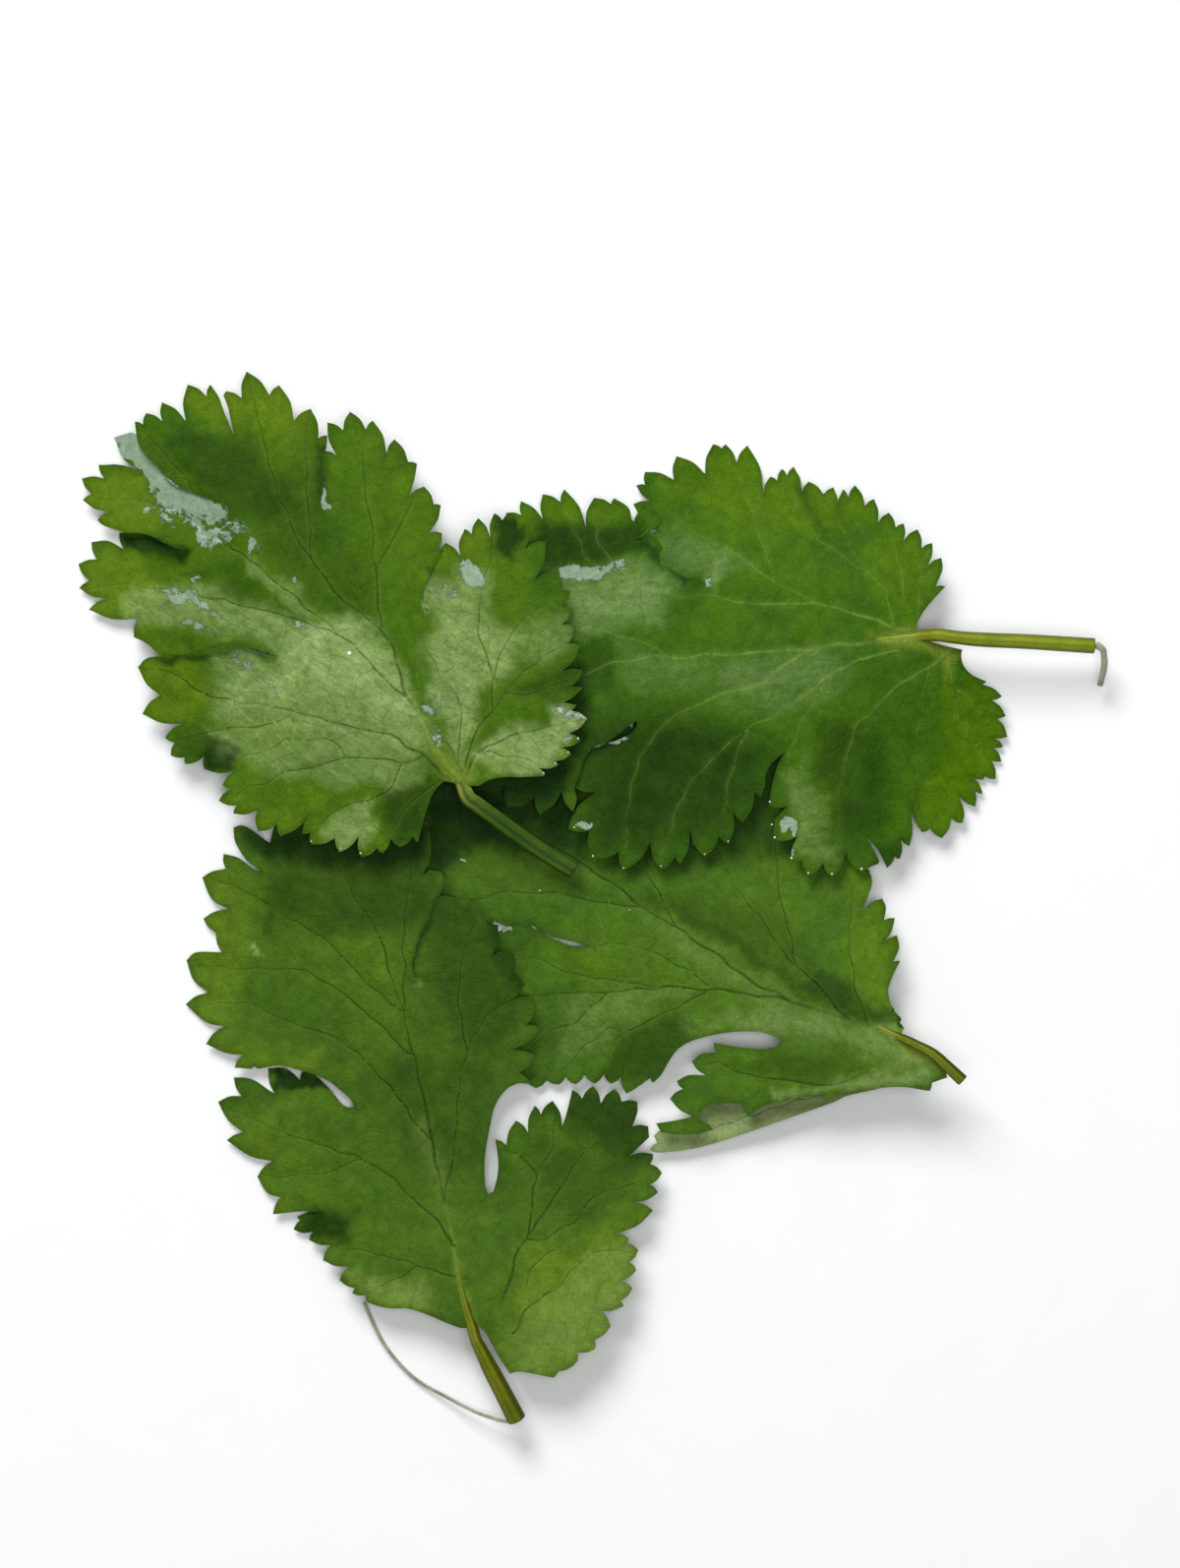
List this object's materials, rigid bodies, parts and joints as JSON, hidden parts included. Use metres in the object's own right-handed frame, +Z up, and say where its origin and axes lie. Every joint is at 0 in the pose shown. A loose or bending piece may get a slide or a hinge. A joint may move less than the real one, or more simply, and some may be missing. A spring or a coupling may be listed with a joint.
{
  "type": "coriander bunch",
  "caption": "Loose bunch of broad, lobed and toothed coriander leaves with short cut stalks, lying flat and overlapping one another.",
  "frame": {"origin": "centre of the bunch's footprint, on the surface that it lies on", "axes": "+Z up from the surface, +X towards the cut end of the right-hand leaf's stalk, +Y away from the cut end of the lower left leaf's stalk"},
  "size_m": [0.0836, 0.0852, 0.0062],
  "materials": {
    "fresh_leaf": "fresh leaf, satin, mid to yellow green",
    "dark_leaf": "fresh leaf, satin, darker green",
    "leaf_underside": "pale matt grey-green underside of a leaf",
    "stalk": "smooth, satin, yellow-green",
    "dried_fibre": "dried plant fibre, matt, grey-green"
  },
  "bodies": {
    "root": {"lower_leaf_blade": "fresh_leaf", "left_leaf_blade": "dark_leaf", "right_leaf_blade": "fresh_leaf", "top_leaf_blade": "fresh_leaf", "lower_leaf_turned_lobe": "leaf_underside", "top_leaf_stalk": "stalk", "right_leaf_stalk": "stalk", "lower_leaf_stalk": "stalk", "left_leaf_stalk": "stalk", "right_stalk_torn_strip": "dried_fibre", "left_stalk_peeled_fibre": "dried_fibre"}
  },
  "joints": []
}
